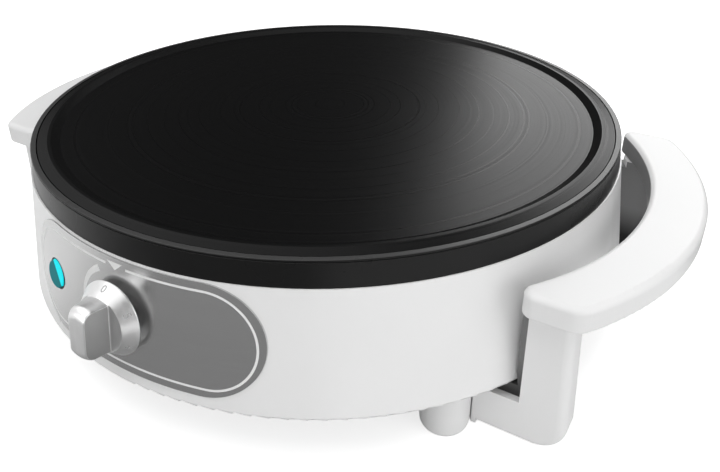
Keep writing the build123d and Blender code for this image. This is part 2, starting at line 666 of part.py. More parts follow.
def thermostat():
    """Switch body behind a slanted bracket, with its bush, nut, pin and the strip that feels the plate."""
    high = THERMOSTAT_HEIGHT / 2
    half = THERMOSTAT_WIDTH / 2
    body = block(-half, half, -high, high, SWITCH_BACK, SWITCH_FRONT)
    cavity_end = SWITCH_FRONT - THERMOSTAT_CAVITY_DEPTH
    body -= stem(SPINDLE_RADIUS + SPINDLE_HOLE_CLEARANCE, cavity_end, SWITCH_FRONT + CUT_OVER)
    pin_front = SPINDLE_END - PIN_GAP
    pin_back = pin_front - PIN_LENGTH
    body -= stem(PIN_RADIUS + RUNNING_CLEARANCE, pin_back - PIN_TRAVEL - PIN_GAP, SWITCH_FRONT)
    nodes["thermostat_body"] = DIAL_FRAME * body
    nodes["contact_pin"] = DIAL_FRAME * stem(PIN_RADIUS, pin_back, pin_front)

    collar_front = SWITCH_FRONT + BUSH_COLLAR_THICKNESS
    bush = stem(BUSH_RADIUS, SWITCH_FRONT, -DIAL_DEPTH + BUSH_NOSE)
    bush += stem(BUSH_COLLAR_RADIUS, SWITCH_FRONT, collar_front)
    bush -= stem(SPINDLE_RADIUS + RUNNING_CLEARANCE, SWITCH_BACK, 0)
    nodes["thermostat_bush"] = DIAL_FRAME * bush
    nut = hexagon(0, 0, 0, BUSH_NUT_THICKNESS, BUSH_NUT_FLATS, BUSH_RADIUS + RUNNING_CLEARANCE)
    nodes["thermostat_nut"] = DIAL_FRAME * Pos(0, 0, -DIAL_DEPTH) * nut

    width = BRACKET_WIDTH / 2
    sheet = block(-width, width, -PANEL_Z, BRACKET_HEADROOM, -DIAL_DEPTH - BRACKET_SHEET, -DIAL_DEPTH)
    sheet -= stem(BUSH_RADIUS + SCREW_HOLE_CLEARANCE, -DIAL_DEPTH - BUSH_NOSE, -DIAL_DEPTH + BUSH_NOSE)
    above_base = block(-width, width, -HOUSING_BOTTOM_RADIUS, 0, BASE_TOP_Z, LEDGE_Z)
    bracket = (DIAL_FRAME * sheet) & above_base
    front = bracket_y(BASE_TOP_Z)
    foot_top = BASE_TOP_Z + BRACKET_SHEET
    bracket += block(-width, width, front + BRACKET_SHEET / 2, front + BRACKET_FOOT, BASE_TOP_Z, foot_top)
    for x in BRACKET_SCREW_PLACES:
        hole = SCREW_RADIUS + SCREW_HOLE_CLEARANCE
        bracket -= rod(x, BRACKET_SCREW_Y, BASE_TOP_Z - CUT_OVER, foot_top + CUT_OVER, hole)
    nodes["thermostat_bracket"] = bracket
    nodes["bracket_screws"] = group(
        [screw_down(x, BRACKET_SCREW_Y, foot_top, BASE_BOTTOM_Z) for x in BRACKET_SCREW_PLACES]
    )

    side = SENSOR_WIDTH / 2
    near = SWITCH_FRONT - SENSOR_SETBACK
    strip = block(-side, side, high, PLATE_BOTTOM_Z, near - SENSOR_SHEET, near)
    nodes["bimetal_sensor"] = (DIAL_FRAME * strip) & rod(0, 0, 0, PLATE_BOTTOM_Z, HOUSING_TOP_RADIUS)


# ---------------------------------------------------------------- heater, reflector, wiring
HEATER_GAP = math.degrees(HEATER_END_SPACING / HEATER_RADIUS)
HEATER_ARC = 360 - HEATER_GAP
TERMINAL_PIN_Z = REFLECTOR_Z - TERMINAL_PIN_REACH


def gap_direction(side):
    """Direction from one end of the heater's tube into the gap between the ends."""
    turn = math.radians(90 + side * HEATER_GAP / 2)
    return Vector(side * math.sin(turn), -side * math.cos(turn), 0)


def terminal_place(side):
    """Place of a terminal pin, in the middle of its bead."""
    x, y = polar(HEATER_RADIUS, 90 + side * HEATER_GAP / 2)
    middle = Vector(x, y, 0) + gap_direction(side) * (TERMINAL_BEAD_LENGTH / 2)
    return middle.X, middle.Y


def heater():
    """Tubular ring under the plate and its two terminals at the back."""
    tube_z = PLATE_BOTTOM_Z - HEATER_TUBE_RADIUS
    section = Plane.XZ * Pos(HEATER_RADIUS, tube_z) * Circle(HEATER_TUBE_RADIUS)
    ring = revolve(section, Axis.Z, HEATER_ARC)
    nodes["heating_element"] = Rot(0, 0, 90 + HEATER_GAP / 2) * ring
    ends = []
    for side in (-1, 1):
        x, y = polar(HEATER_RADIUS, 90 + side * HEATER_GAP / 2)
        seat = Plane(origin=(x, y, tube_z), z_dir=gap_direction(side)).location
        length = TERMINAL_BEAD_LENGTH
        bead = seat * Pos(0, 0, length / 2) * Cylinder(HEATER_TUBE_RADIUS, length)
        pin_x, pin_y = terminal_place(side)
        ends.append(bead + rod(pin_x, pin_y, TERMINAL_PIN_Z, tube_z, TERMINAL_PIN_RADIUS))
    nodes["element_terminals"] = group(ends)


def reflector():
    """Sheet dish that throws the heat up, hung on three tie rods between nuts."""
    rim_z = REFLECTOR_Z + REFLECTOR_RIM_HEIGHT
    dish = turned(
        [
            (0, REFLECTOR_Z),
            (REFLECTOR_FLAT_RADIUS, REFLECTOR_Z),
            (REFLECTOR_RIM_RADIUS, rim_z),
            (REFLECTOR_RIM_RADIUS - REFLECTOR_SHEET, rim_z),
            (REFLECTOR_FLAT_RADIUS - REFLECTOR_SHEET, REFLECTOR_TOP_Z),
            (0, REFLECTOR_TOP_Z),
        ]
    )
    half = REFLECTOR_NOTCH / 2
    notch_y = place(DIAL_FRAME, 0, THERMOSTAT_HEIGHT / 2, SWITCH_BACK)[1] + NOTCH_CLEARANCE
    dish -= block(-half, half, -HOUSING_TOP_RADIUS, notch_y, REFLECTOR_Z - CUT_OVER, rim_z + CUT_OVER)
    low, high = REFLECTOR_Z - CUT_OVER, REFLECTOR_TOP_Z + CUT_OVER
    for x, y in ROD_PLACES:
        dish -= rod(x, y, low, high, ROD_RADIUS + SCREW_HOLE_CLEARANCE)
    for side in (-1, 1):
        x, y = terminal_place(side)
        dish -= rod(x, y, low, high, TERMINAL_PIN_RADIUS + TERMINAL_HOLE_CLEARANCE)
    nodes["heat_reflector"] = dish

    boss_z = PLATE_BOTTOM_Z - PLATE_BOSS_HEIGHT
    low = PILLAR_TOP_Z - ROD_END_DEPTH
    nodes["tie_rods"] = group(
        [rod(x, y, low, boss_z + ROD_END_DEPTH, ROD_RADIUS) for x, y in ROD_PLACES]
    )
    nuts = []
    bore = ROD_RADIUS + RUNNING_CLEARANCE
    for x, y in ROD_PLACES:
        nuts.append(hexagon(x, y, REFLECTOR_Z - ROD_NUT_THICKNESS, REFLECTOR_Z, ROD_NUT_FLATS, bore))
        top = REFLECTOR_TOP_Z + ROD_NUT_THICKNESS
        nuts.append(hexagon(x, y, REFLECTOR_TOP_Z, top, ROD_NUT_FLATS, bore))
    nodes["tie_rod_nuts"] = group(nuts)



def fuse():
    """Thermal fuse under the reflector, in a bent sheet clip with two tabs."""
    reach = FUSE_LENGTH / 2
    seat = Pos(FUSE_X, FUSE_Y, REFLECTOR_Z)
    nodes["thermal_fuse"] = seat * rod_y(0, -FUSE_RADIUS, -reach, reach, FUSE_RADIUS)
    outer = FUSE_RADIUS + FUSE_CLIP_SHEET
    side = FUSE_CLIP_WIDTH / 2
    low = -2 * FUSE_RADIUS
    tab = outer + FUSE_CLIP_TAB
    clip = block(-outer, outer, -side, side, low - FUSE_CLIP_SHEET, 0)
    clip += block(-tab, tab, -side, side, -FUSE_CLIP_SHEET, 0)
    clip -= block(-FUSE_RADIUS, FUSE_RADIUS, -side - CUT_OVER, side + CUT_OVER, low, CUT_OVER)
    nodes["fuse_clip"] = seat * clip


def cord_entry():
    """Plain bush at the back, held by a nut inside, with a bore for a cord."""
    inner = GLAND_WALL_Y - GLAND_INNER_REACH
    bush = rod_y(0, GLAND_Z, inner, GLAND_BACK, GLAND_BARREL_RADIUS)
    flange_back = GLAND_WALL_Y + GLAND_FLANGE_THICKNESS
    flange_front = GLAND_WALL_Y - GLAND_FLANGE_THICKNESS
    flange = rod_y(0, GLAND_Z, flange_front, flange_back, GLAND_FLANGE_RADIUS)
    flange -= housing_cone(0)
    bush += flange
    bush -= rod_y(0, GLAND_Z, inner - CUT_OVER, GLAND_BACK + CUT_OVER, GLAND_BORE_RADIUS)
    nodes["cord_gland"] = bush
    nut = hexagon(0, 0, 0, GLAND_NUT_THICKNESS, GLAND_NUT_FLATS, GLAND_BARREL_RADIUS + RUNNING_CLEARANCE)
    nut_y = housing_radius(GLAND_Z + GLAND_NUT_FLATS / 2) - HOUSING_WALL - GLAND_NUT_THICKNESS / 2
    nut = Pos(0, nut_y, GLAND_Z) * Rot(90, 0, 0) * nut
    nodes["gland_nut"] = nut & housing_cone(-HOUSING_WALL)


def wiring():
    """Terminal block with its screws, and the wires to the switch, the lamp and the heater."""
    x0, y0 = -BLOCK_LENGTH / 2, BLOCK_Y - BLOCK_WIDTH / 2
    top = BASE_TOP_Z + BLOCK_HEIGHT
    shape = block(x0, -x0, y0, y0 + BLOCK_WIDTH, BASE_TOP_Z, top)
    poles = [(i - (BLOCK_POLES - 1) / 2) * BLOCK_PITCH for i in range(BLOCK_POLES)]
    sink = top - BLOCK_SCREW_LENGTH
    for x in poles:
        shape -= rod(x, BLOCK_Y, sink, top + CUT_OVER, BLOCK_SCREW_RADIUS)
    nodes["terminal_block"] = shape
    screw_top = top - BLOCK_SCREW_SINK
    nodes["terminal_screws"] = group([rod(x, BLOCK_Y, sink, screw_top, BLOCK_SCREW_RADIUS) for x in poles])

    wire_z = BASE_TOP_Z + BLOCK_HEIGHT / 2
    tag_y = -THERMOSTAT_HEIGHT / 4
    nodes["live_wire"] = wire(
        [
            (poles[-1], y0, wire_z),
            (poles[-1], y0 - WIRE_LEAD, wire_z),
            (LIVE_WIRE_X, y0 - 5 * WIRE_LEAD, LIVE_WIRE_Z),
            (LIVE_WIRE_X, -y0 + 5 * WIRE_LEAD, LIVE_WIRE_Z),
            place(DIAL_FRAME, LIVE_TAG_X, tag_y, SWITCH_BACK - WIRE_LEAD),
            place(DIAL_FRAME, LIVE_TAG_X, tag_y, SWITCH_BACK),
        ],
        WIRE_RADIUS,
    )
    pin_x, pin_y = terminal_place(1)
    nodes["neutral_wire"] = wire(
        [
            (poles[0], y0, wire_z),
            (poles[0], y0 - WIRE_LEAD, wire_z),
            (pin_x, pin_y, TERMINAL_PIN_Z - WIRE_LEAD),
            (pin_x, pin_y, TERMINAL_PIN_Z),
        ],
        WIRE_RADIUS,
    )
    bulb_end = -LENS_DEPTH - BULB_SOCKET_DEPTH - BULB_LENGTH
    side_x = -THERMOSTAT_WIDTH / 2
    tag_z = SWITCH_FRONT - SENSOR_SETBACK
    nodes["lamp_wire"] = wire(
        [
            place(DIAL_FRAME, side_x, tag_y, tag_z),
            place(DIAL_FRAME, side_x - WIRE_LEAD, tag_y, tag_z),
            place(LAMP_FRAME, 0, 0, bulb_end - WIRE_LEAD),
            place(LAMP_FRAME, 0, 0, bulb_end),
        ],
        WIRE_RADIUS,
    )


# ---------------------------------------------------------------- side handles
def end_corners(outline, side):
    """Corners at the two ends of the grip's outline: side 1 for the outer ones, -1 for the inner ones."""
    tips = [v for v in outline.vertices() if abs(abs(v.Y) - GRIP_HALF_SPAN) < CLOSE]
    return sorted(tips, key=lambda v: side * v.X)[-2:]


def grip():
    """Right-hand crescent grip between two arcs, with straight ends and rounded corners and edges."""
    outer = Pos(GRIP_OUTER_X - GRIP_OUTER_RADIUS, 0, 0) * Circle(GRIP_OUTER_RADIUS)
    inner = Pos(GRIP_INNER_X - GRIP_INNER_RADIUS, 0, 0) * Circle(GRIP_INNER_RADIUS)
    band = Pos(GRIP_OUTER_X, 0, 0) * Rectangle(GRIP_OUTER_X, 2 * GRIP_HALF_SPAN)
    outline = (outer - inner) & band
    outline = fillet(end_corners(outline, -1), GRIP_INNER_ROUND)
    outline = fillet(end_corners(outline, 1), GRIP_OUTER_ROUND)
    solid = Pos(0, 0, LEG_TOP_Z) * extrude(outline, GRIP_THICKNESS)
    solid = fillet(edges_at(solid, GRIP_TOP_Z), GRIP_TOP_ROUND)
    solid = fillet(edges_at(solid, LEG_TOP_Z), GRIP_BOTTOM_ROUND)
    hole = SCREW_RADIUS + SCREW_HOLE_CLEARANCE
    hole_top = LEG_TOP_Z + SCREW_BITE + SCREW_TIP_ROOM
    for side in (-1, 1):
        solid -= rod(LEG_MIDDLE_X, side * LEG_MIDDLE_Y, LEG_TOP_Z - CUT_OVER, hole_top, hole)
    return solid


LEG_MIDDLE_X = (LEG_TOP_INNER_X + LEG_TOP_OUTER_X) / 2
LEG_MIDDLE_Y = LEG_FACE_Y - LEG_WALL - SCREW_HEAD_RADIUS - LEG_SCREW_WALL_GAP


def post_edges(z):
    """X of the post's inner and outer edge at height z; it gets narrower towards the grip."""
    share = (z - ARM_CLEARANCE) / (LEG_TOP_Z - ARM_CLEARANCE)
    inner = LEG_INNER_X + (LEG_TOP_INNER_X - LEG_INNER_X) * share
    outer = LEG_OUTER_X + (LEG_TOP_OUTER_X - LEG_OUTER_X) * share
    return inner, outer


def leg_outline(inset, top, arm_top, inner_shift):
    """L-shaped side view of a leg, set in from the outside; inner_shift moves the post's inner edge."""
    bottom = ARM_CLEARANCE + inset
    outer_low = post_edges(bottom)[1] - inset
    inner_high, outer_high = post_edges(top)
    inner_low = post_edges(arm_top)[0]
    start = TONGUE_OUTER_X
    points = [(start, bottom), (outer_low, bottom), (outer_high - inset, top)]
    points += [(inner_high + inner_shift, top), (inner_low + inner_shift, arm_top), (start, arm_top)]
    face = make_face(Polyline(*points, close=True))
    corner = [v for v in face.vertices() if abs(v.X - outer_low) < CLOSE and abs(v.Y - bottom) < CLOSE]
    return fillet(corner, LEG_CORNER_ROUND - inset)


def upright(outline, y0, y1):
    """Side view extruded along Y from y0 to y1."""
    frame = Plane(origin=(0, y1, 0), x_dir=(1, 0, 0), z_dir=(0, -1, 0)).location
    return frame * extrude(outline, y1 - y0)


def legs():
    """Front right leg: white L-shaped channel, tongue under the base, and a grey core by the housing."""
    face_y = -LEG_FACE_Y
    back_y = face_y + LEG_DEPTH
    cap_z = LEG_TOP_Z - LEG_CAP
    shell = upright(leg_outline(0, LEG_TOP_Z, ARM_TOP_Z, 0), face_y, back_y)
    soft = [
        e
        for e in shell.edges()
        if abs(e.center().Y - face_y) < CLOSE
        and (e.center().X > LEG_OUTER_X - LEG_CORNER_ROUND and e.center().Z < LEG_TOP_Z - CLOSE)
    ]
    shell = fillet(soft, LEG_EDGE_ROUND)
    open_side = leg_outline(LEG_WALL, cap_z, ARM_TOP_Z + CUT_OVER, -CUT_OVER)
    hollow = upright(open_side, face_y + LEG_WALL, back_y + CUT_OVER)
    shell -= hollow
    tongue_back = -TONGUE_FACE_Y + TONGUE_DEPTH
    shell += block(TAB_OUTER_X, TONGUE_OUTER_X, -TONGUE_FACE_Y, tongue_back, ARM_CLEARANCE, ARM_TOP_Z)
    tab_z = ARM_TOP_Z - TAB_HEIGHT
    shell += block(TONGUE_INNER_X, TAB_OUTER_X, -TONGUE_FACE_Y, tongue_back, tab_z, ARM_TOP_Z)
    wall_end = block(FOOT_X, TONGUE_OUTER_X, face_y, face_y + LEG_WALL, ARM_CLEARANCE, ARM_TOP_Z)
    shell += wall_end - rod(FOOT_X, -FOOT_Y, 0, LEDGE_Z, FOOT_RADIUS + ARM_FOOT_GAP)
    keep_out = rod(0, 0, ARM_TOP_Z, LEDGE_Z, HOUSING_BOTTOM_RADIUS + LEG_HOUSING_GAP)
    shell -= keep_out
    hole = SCREW_RADIUS + SCREW_HOLE_CLEARANCE
    for x in LEG_SCREW_PLACES:
        shell -= rod(x, -LEG_SCREW_Y, tab_z - CUT_OVER, ARM_TOP_Z + CUT_OVER, hole)
    shell -= rod(LEG_MIDDLE_X, -LEG_MIDDLE_Y, cap_z - CUT_OVER, LEG_TOP_Z + CUT_OVER, hole)

    core_low = HOUSING_LIFT - CORE_TOP_GAP
    core_shift = CORE_INNER_X - LEG_TOP_INNER_X
    side_view = leg_outline(LEG_WALL, cap_z, core_low, core_shift)
    core = upright(side_view, face_y + LEG_WALL, back_y - CORE_RECESS)
    core -= housing_cone(LEG_HOUSING_GAP, core_low)
    core -= rod(FOOT_X, -FOOT_Y, 0, LEDGE_Z, FOOT_RADIUS + ARM_FOOT_GAP)
    head_z = cap_z - SCREW_HEAD_HEIGHT - SCREW_HEAD_ROOM
    core -= rod(LEG_MIDDLE_X, -LEG_MIDDLE_Y, head_z, LEG_TOP_Z, SCREW_HEAD_RADIUS + CORE_SCREW_ROOM)
    for corner, piece in four_corners(shell).items():
        nodes[corner + "_leg"] = piece
    for corner, piece in four_corners(core).items():
        nodes[corner + "_leg_core"] = piece
    leg_screws = []
    for x in LEG_SCREW_PLACES:
        leg_screws += four_corners(screw(x, -LEG_SCREW_Y, tab_z, BASE_TOP_Z - SCREW_TIP_GAP)).values()
    nodes["leg_screws"] = group(leg_screws)
    fixing = screw(LEG_MIDDLE_X, -LEG_MIDDLE_Y, cap_z, LEG_TOP_Z + SCREW_BITE)
    nodes["grip_screws"] = group(four_corners(fixing).values())
    right = grip()
    nodes["right_grip"] = right
    nodes["left_grip"] = mirror(right, about=Plane.YZ)


# ---------------------------------------------------------------- build and write
hot_plate()
plate_collar()
housing_shell()
base_cover()
feet()
control_panel()
lamp()
dial()
thermostat()
heater()
reflector()
fuse()
cord_entry()
wiring()
legs()

front_y = nodes["dial_knob"].bounding_box().min.Y
back_y = nodes["cord_gland"].bounding_box().max.Y
origin_shift = -(front_y + back_y) / 2

os.makedirs("parts", exist_ok=True)
for name, shape in nodes.items():
    export_step(Pos(0, origin_shift, 0) * shape, "parts/" + name + ".step")

print("nodes", len(nodes), "origin shift", round(origin_shift, 4))
print("dial axis passes", place(DIAL_FRAME, 0, 0, 0), "and", place(DIAL_FRAME, 0, 0, 1))
print("cord gland from", GLAND_WALL_Y - GLAND_INNER_REACH, "to", GLAND_BACK)
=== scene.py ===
import json
import math

import bmesh
import bpy
from mathutils import Matrix, Vector

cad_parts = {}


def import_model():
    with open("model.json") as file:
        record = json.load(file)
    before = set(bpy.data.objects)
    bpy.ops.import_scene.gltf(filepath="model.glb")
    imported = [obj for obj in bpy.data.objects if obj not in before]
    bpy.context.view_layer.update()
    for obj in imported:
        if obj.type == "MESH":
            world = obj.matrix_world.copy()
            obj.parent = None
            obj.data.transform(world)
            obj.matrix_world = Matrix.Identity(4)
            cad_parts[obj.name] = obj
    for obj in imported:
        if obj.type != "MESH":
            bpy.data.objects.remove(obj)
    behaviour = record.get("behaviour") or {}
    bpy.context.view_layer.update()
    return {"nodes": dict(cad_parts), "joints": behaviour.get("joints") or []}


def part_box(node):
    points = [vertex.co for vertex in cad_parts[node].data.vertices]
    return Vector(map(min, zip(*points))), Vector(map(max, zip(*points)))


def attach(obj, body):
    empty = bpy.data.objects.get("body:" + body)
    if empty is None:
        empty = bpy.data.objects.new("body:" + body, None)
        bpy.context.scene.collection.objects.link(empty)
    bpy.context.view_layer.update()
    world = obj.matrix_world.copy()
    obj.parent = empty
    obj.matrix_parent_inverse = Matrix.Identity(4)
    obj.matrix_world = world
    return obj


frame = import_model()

MM = 0.001

# ------------------------------------------------------------------ places read from the frame
NODES = frame["nodes"]
collar_low, collar_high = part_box("plate_collar")
housing_low, housing_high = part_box("housing_shell")
panel_low, panel_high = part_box("control_panel")
lens_low, lens_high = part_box("indicator_lens")
AXIS_Y = (collar_low.y + collar_high.y) / 2
COLLAR_RADIUS = (collar_high.x - collar_low.x) / 2
HOUSING_TOP_Z = housing_high.z
HOUSING_HEIGHT = housing_high.z - housing_low.z
PANEL_Z = (panel_low.z + panel_high.z) / 2
PANEL_HEIGHT = panel_high.z - panel_low.z
LENS_MIDDLE = (lens_low + lens_high) / 2
dial_joint = next(j for j in frame["joints"] if j["name"] == "dial_turn")
DIAL_FOOT = Vector(dial_joint["pos_m"])
DIAL_OUT = -Vector(dial_joint["axis"]).normalized()

# ------------------------------------------------------------------ sizes that repeat the part's own
HOUSING_STEP = 0.6 * MM
HOUSING_FLARE = 8.0 * MM
PANEL_THICKNESS = 0.6 * MM
PANEL_LENGTH = 131.0 * MM
LAMP_ANGLE = math.radians(-16.3)
LENS_TURN = math.radians(38.0)
LENS_CREASE_OFFSET = 2.0 * MM
LEG_BACK_Y = 67.5 * MM
GRIP_ARC_X = 36.0 * MM
GRIP_INNER_RADIUS = 129.6 * MM
KNOB_GAP = 2.6 * MM
KNOB_SKIRT_RADIUS = 16.4 * MM
KNOB_FACE_RADIUS = 12.0 * MM
KNOB_SKIRT_DEPTH = 5.9 * MM


def wall_radius(z):
    """Radius of the housing's outer face at height z."""
    share = (HOUSING_TOP_Z - z) / HOUSING_HEIGHT
    return COLLAR_RADIUS + HOUSING_STEP + HOUSING_FLARE * share


PANEL_FACE = wall_radius(PANEL_Z) + PANEL_THICKNESS


# ------------------------------------------------------------------ helpers for node trees
def feed(tree, entry, value):
    """Sets an input: by a link where the value is another node's output, else as its constant."""
    if isinstance(value, bpy.types.NodeSocket):
        tree.links.new(value, entry)
    else:
        entry.default_value = value


def add_node(tree, kind, output, inputs=None, **properties):
    """Adds a node with these inputs and properties, and gives the output that is asked for."""
    made = tree.nodes.new(kind)
    for key, value in properties.items():
        setattr(made, key, value)
    for key, value in (inputs or {}).items():
        feed(tree, made.inputs[key], value)
    return made.outputs[output]


def maths(tree, operation, *terms):
    """Result of a calculation; each term is a number or another node's output."""
    return add_node(tree, "ShaderNodeMath", "Value", dict(enumerate(terms)), operation=operation)


def vector_maths(tree, operation, output, *terms):
    """Result of a calculation with vectors: its Vector or its Value, as output says."""
    return add_node(tree, "ShaderNodeVectorMath", output, dict(enumerate(terms)), operation=operation)


def coordinate(tree, vector, axis):
    """One coordinate of a vector."""
    return add_node(tree, "ShaderNodeSeparateXYZ", axis, {"Vector": vector})


def map_range(tree, value, span, low, high, interpolation="LINEAR"):
    """Low where the value is at the span's start, high at its end, and no further outside."""
    inputs = {"Value": value, "From Min": span[0], "From Max": span[1], "To Min": low, "To Max": high}
    return add_node(tree, "ShaderNodeMapRange", "Result", inputs, interpolation_type=interpolation)


def colour_range(tree, value, span, dark, light):
    """Dark where the value is at the span's start, light at its end."""
    ramp = tree.nodes.new("ShaderNodeValToRGB")
    for element, place, colour in zip(ramp.color_ramp.elements, span, (dark, light)):
        element.position = place
        element.color = (*colour, 1.0)
    feed(tree, ramp.inputs["Fac"], value)
    return ramp.outputs["Color"]


def mix_values(tree, factor, first, second):
    """A number from first to second by the factor."""
    inputs = {"Factor": factor, "A": first, "B": second}
    return add_node(tree, "ShaderNodeMix", "Result", inputs, data_type="FLOAT")


def mix_colours(tree, factor, first, second):
    """A colour from first to second by the factor; the node's colour sockets are 6, 7 and 2."""
    return add_node(tree, "ShaderNodeMix", 2, {0: factor, 6: first, 7: second}, data_type="RGBA")


def object_space(tree, location=(0, 0, 0), scale=(1, 1, 1)):
    """Row-frame coordinates through a mapping: the object of every CAD node sits at the origin."""
    place = add_node(tree, "ShaderNodeTexCoord", "Object")
    inputs = {"Vector": place, "Location": location, "Scale": scale}
    return add_node(tree, "ShaderNodeMapping", "Vector", inputs)


def noise(tree, space, scale, detail, roughness=0.5):
    """Noise texture in that space."""
    inputs = {"Vector": space, "Scale": scale, "Detail": detail, "Roughness": roughness}
    return add_node(tree, "ShaderNodeTexNoise", "Fac", inputs)


def bump(tree, height, distance, strength=1.0, under=None):
    """Normal of a bump by a height, on top of another bump's normal where one is given."""
    inputs = {"Height": height, "Distance": distance, "Strength": strength}
    if under is not None:
        inputs["Normal"] = under
    return add_node(tree, "ShaderNodeBump", "Normal", inputs)


# ------------------------------------------------------------------ helpers for materials
def shader_of(tree):
    """The principled shader of a material's tree."""
    return tree.nodes["Principled BSDF"]


def feed_shader(tree, **sockets):
    """Feeds inputs of the principled shader; their names are written with _ for a space."""
    shader = shader_of(tree)
    for key, value in sockets.items():
        feed(tree, shader.inputs[key.replace("_", " ")], value)


def new_material(name, colour, roughness, **sockets):
    """A principled material with constant inputs."""
    material = bpy.data.materials.new(name)
    material.use_nodes = True
    feed_shader(material.node_tree, Base_Color=(*colour, 1.0), Roughness=roughness, **sockets)
    return material


def scaled(colour, factor):
    """A colour made darker or lighter, never above 1."""
    return tuple(min(1.0, part * factor) for part in colour)


def recolour(tree, mask, colour):
    """Puts a colour in place of the material's own where the mask is 1."""
    own = shader_of(tree).inputs["Base Color"].links[0].from_socket
    feed_shader(tree, Base_Color=mix_colours(tree, mask, own, (*colour, 1.0)))


# ------------------------------------------------------------------ textures
# A span is where a change starts and ends; scales are per metre; a gloss is a share of the roughness.
NOISE_SPAN = (0.3, 0.7)
MOTTLE_SCALE = 14.0
MOTTLE_DARK = 0.965
MOTTLE_GLOSS = (0.9, 1.12)
PEEL_FINE = 900.0
PEEL_MEDIUM = 700.0
PEEL_COARSE = 500.0
COAT_ROUGHNESS = 0.12
HAIR_SPAN = (0.25, 0.75)
HAIR_GLOSS = (0.88, 1.15)
HAIR_BUMP = 0.6
EVEN_GRAIN = (300, 300, 300)
COATING_SPECKS = 2600.0
COATING_SPECK_SPAN = (0.55, 0.85)
COATING_SPECK_DEPTH = 0.03 * MM
COATING_RINGS = 700.0
COATING_RING_ROUGHNESS = (0.27, 0.34)
COATING_RING_DEPTH = 0.003 * MM
COATING_BUMP = 0.5
WITHOUT_HEIGHT = (1.0, 1.0, 0.0)
LENS_RIBS = 400.0
LENS_RIB_DEPTH = 0.02 * MM
LENS_RIB_BUMP = 0.5
LENS_BLEND = 0.15 * MM

# ------------------------------------------------------------------ colours
WHITE = (0.80, 0.80, 0.80)
# painted shade: grey where the legs' open channels and the grips' faces towards the housing lie in shade;
# also the leg cores' colour
SHADE_GREY = (0.17, 0.17, 0.171)
SHADE_BLACK = (0.012, 0.012, 0.012)
COLLAR_BLACK = (0.0068, 0.0068, 0.0068)
# painted sheen: the collar's upward-facing ledge made paler
COLLAR_LEDGE_SHEEN = (0.05, 0.05, 0.05)
BASE_BLACK = (0.018, 0.018, 0.018)
SWITCH_BLACK = (0.02, 0.02, 0.022)
COATING_BLACK = (0.0035, 0.0035, 0.0036)
COATING_SPECK = (0.012, 0.012, 0.0122)
CERAMIC_CREAM = (0.72, 0.68, 0.6)
WIRE_BROWN = (0.16, 0.06, 0.025)
WIRE_BLUE = (0.02, 0.05, 0.3)
INK_WHITE = (0.78, 0.78, 0.78)
INK_GREY = (0.36, 0.36, 0.36)
PANEL_METAL = (0.6, 0.6, 0.6)
KNOB_METAL = (0.93, 0.93, 0.93)
# painted shade on the knob bar's sideways flanks
KNOB_FLANK_SHADE = (0.42, 0.42, 0.42)
STEEL = (0.5, 0.5, 0.5)
BRASS = (0.62, 0.44, 0.16)
SHEET_METAL = (0.66, 0.66, 0.67)
HEATER_STEEL = (0.16, 0.15, 0.14)
NEON_GLASS = (0.9, 0.6, 0.45)
LENS_TEAL = (0.0, 0.5, 0.55)
# painted shade and painted light: the lens's shaded and lit halves
LENS_SHADED_HALF = (0.0, 0.15, 0.17)
LENS_LIT_HALF = (0.0, 0.45, 0.5)
# painted glow of the lens, weak on its shaded half and strong on its lit half
LENS_GLOW_COLOUR = (0.0, 0.9, 1.0, 1.0)
LENS_GLOW_SHADED_HALF = 0.05
LENS_GLOW_LIT_HALF = 0.5

# ------------------------------------------------------------------ where a piece gets painted shade, painted sheen or a non-metal back
MASK_EDGE = 0.05 * MM
# edge and blend of the painted shade on the grip's face towards the housing
GRIP_SHADE_REACH = 0.15 * MM
CORE_SHADE_SPAN = (24.0 * MM, 42.0 * MM)
# A facing is how far a face's normal points up, out of the dial or sideways: 1 is fully, -1 the other way.
LEDGE_FACING = (0.6, 0.95)
KNOB_BACK_FACING = (-0.95, -0.85)
KNOB_FLANK_FACING = (0.9, 0.97)
FULL_SPAN = (0.0, 1.0)


# ------------------------------------------------------------------ materials
def moulded_plastic(name, colour, roughness, grain=PEEL_FINE, depth=0.02 * MM, coat=0.0, specular=0.5):
    """Moulded plastic: a faint mottle in colour and gloss, and a very fine orange peel."""
    material = new_material(name, colour, roughness, Specular_IOR_Level=specular,
                            Coat_Weight=coat, Coat_Roughness=COAT_ROUGHNESS)
    tree = material.node_tree
    space = object_space(tree)
    mottle = noise(tree, space, MOTTLE_SCALE, detail=4.0)
    peel = noise(tree, space, grain, detail=2.0)
    feed_shader(
        tree,
        Base_Color=colour_range(tree, mottle, NOISE_SPAN, scaled(colour, MOTTLE_DARK), colour),
        Roughness=map_range(tree, mottle, NOISE_SPAN, *(roughness * share for share in MOTTLE_GLOSS)),
        Normal=bump(tree, peel, depth),
    )
    return material


def brushed_metal(name, colour, roughness, stretch, contrast=0.1, depth=0.01 * MM, metallic=1.0):
    """Metal with fine hairlines: noise that is stretched along the brushing."""
    material = new_material(name, colour, roughness, Metallic=metallic)
    tree = material.node_tree
    hair = noise(tree, object_space(tree, scale=stretch), 1.0, detail=5.0, roughness=0.65)
    dark = scaled(colour, 1 - contrast)
    light = scaled(colour, 1 + contrast / 2)
    feed_shader(
        tree,
        Base_Color=colour_range(tree, hair, HAIR_SPAN, dark, light),
        Roughness=map_range(tree, hair, NOISE_SPAN, *(roughness * share for share in HAIR_GLOSS)),
    )
    if depth:
        feed_shader(tree, Normal=bump(tree, hair, depth, HAIR_BUMP))
    return material


